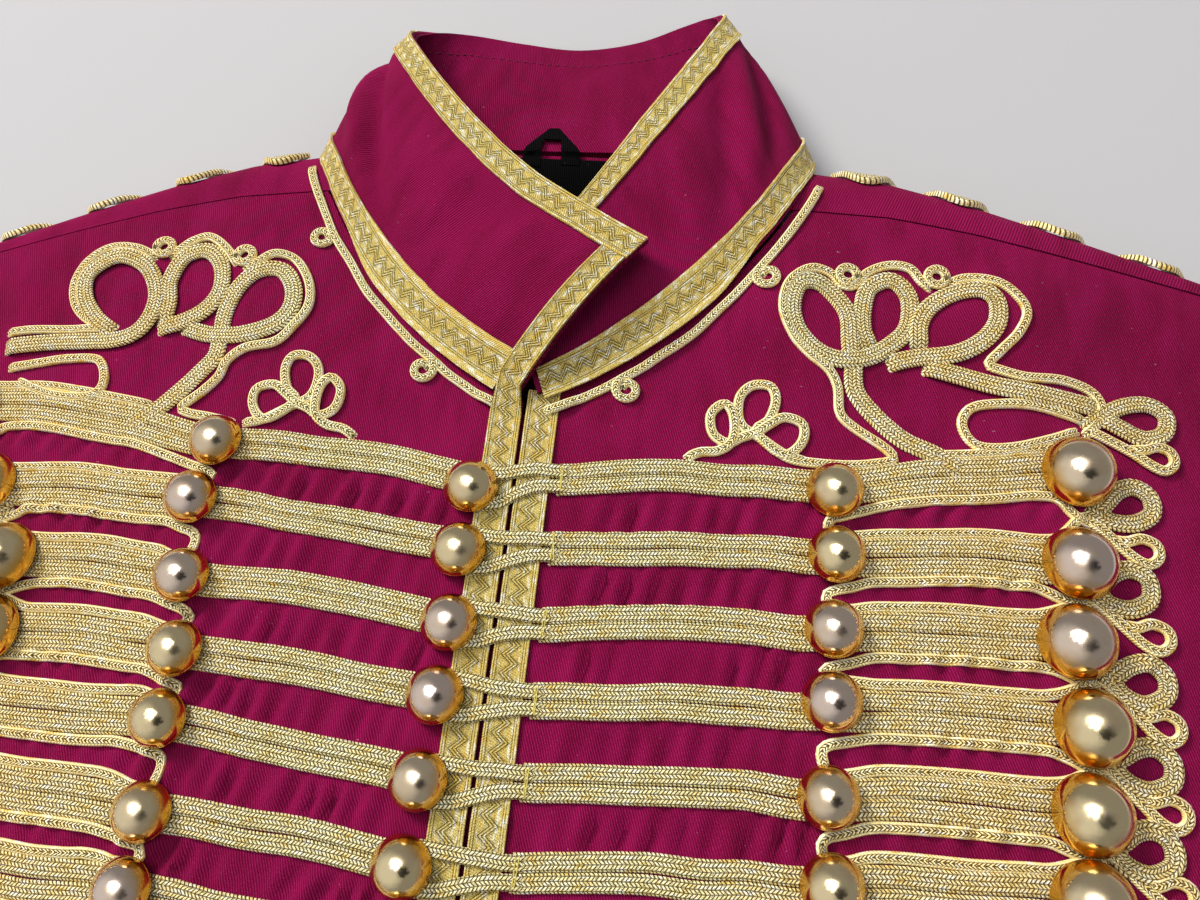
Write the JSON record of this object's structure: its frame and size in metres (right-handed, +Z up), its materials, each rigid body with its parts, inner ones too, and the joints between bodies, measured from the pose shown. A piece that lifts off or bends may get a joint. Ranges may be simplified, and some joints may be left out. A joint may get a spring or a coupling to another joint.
{
  "type": "military drummer jacket",
  "caption": "Short stand-collared military drummer jacket with rows of gold frogging across both fronts, laid flat and buttoned.",
  "frame": {"origin": "On the flat underside of the back, on the centre line, in the surface the jacket lies on, about level with the front neck seam.", "axes": "+Z up out of the surface, towards the fronts; +Y from the hem towards the collar; +X towards the wearer's left."},
  "size_m": [1.1548, 0.6995, 0.0468],
  "materials": {
    "burgundy_twill": "matte cotton twill",
    "gold_lace": "woven metallic lace, satin",
    "gold_braid": "plaited metallic braid, satin",
    "gilt_button": "polished gilt",
    "black_tape": "matte woven tape"
  },
  "bodies": {
    "root": {"back": "burgundy_twill", "collar_facing": "burgundy_twill", "collar_stand": "burgundy_twill", "collar_top_lace": "gold_lace", "frog_left_01": "gold_braid", "frog_left_02": "gold_braid", "frog_left_03": "gold_braid", "frog_left_04": "gold_braid", "frog_left_05": "gold_braid", "frog_left_06": "gold_braid", "frog_left_07": "gold_braid", "frog_left_08": "gold_braid", "frog_left_09": "gold_braid", "frog_left_10": "gold_braid", "frog_left_11": "gold_braid", "frog_left_12": "gold_braid", "frog_left_13": "gold_braid", "frog_left_14": "gold_braid", "frog_left_15": "gold_braid", "frog_right_01": "gold_braid", "frog_right_02": "gold_braid", "frog_right_03": "gold_braid", "frog_right_04": "gold_braid", "frog_right_05": "gold_braid", "frog_right_06": "gold_braid", "frog_right_07": "gold_braid", "frog_right_08": "gold_braid", "frog_right_09": "gold_braid", "frog_right_10": "gold_braid", "frog_right_11": "gold_braid", "frog_right_12": "gold_braid", "frog_right_13": "gold_braid", "frog_right_14": "gold_braid", "frog_right_15": "gold_braid", "front_edge_lace_left": "gold_lace", "front_edge_lace_right": "gold_lace", "front_left": "burgundy_twill", "front_right": "burgundy_twill", "front_underlap": "burgundy_twill", "hanger_loop": "black_tape", "neck_braid_left": "gold_braid", "neck_braid_right": "gold_braid", "neck_label": "black_tape", "neck_seam_lace": "gold_lace", "shoulder_braid_left": "gold_braid", "shoulder_braid_right": "gold_braid", "shoulder_knot_left": "gold_braid", "shoulder_knot_right": "gold_braid", "small_knot_left": "gold_braid", "small_knot_right": "gold_braid", "top_sleeve_left": "burgundy_twill", "top_sleeve_right": "burgundy_twill", "under_sleeve_left": "burgundy_twill", "under_sleeve_right": "burgundy_twill"}
  },
  "joints": []
}
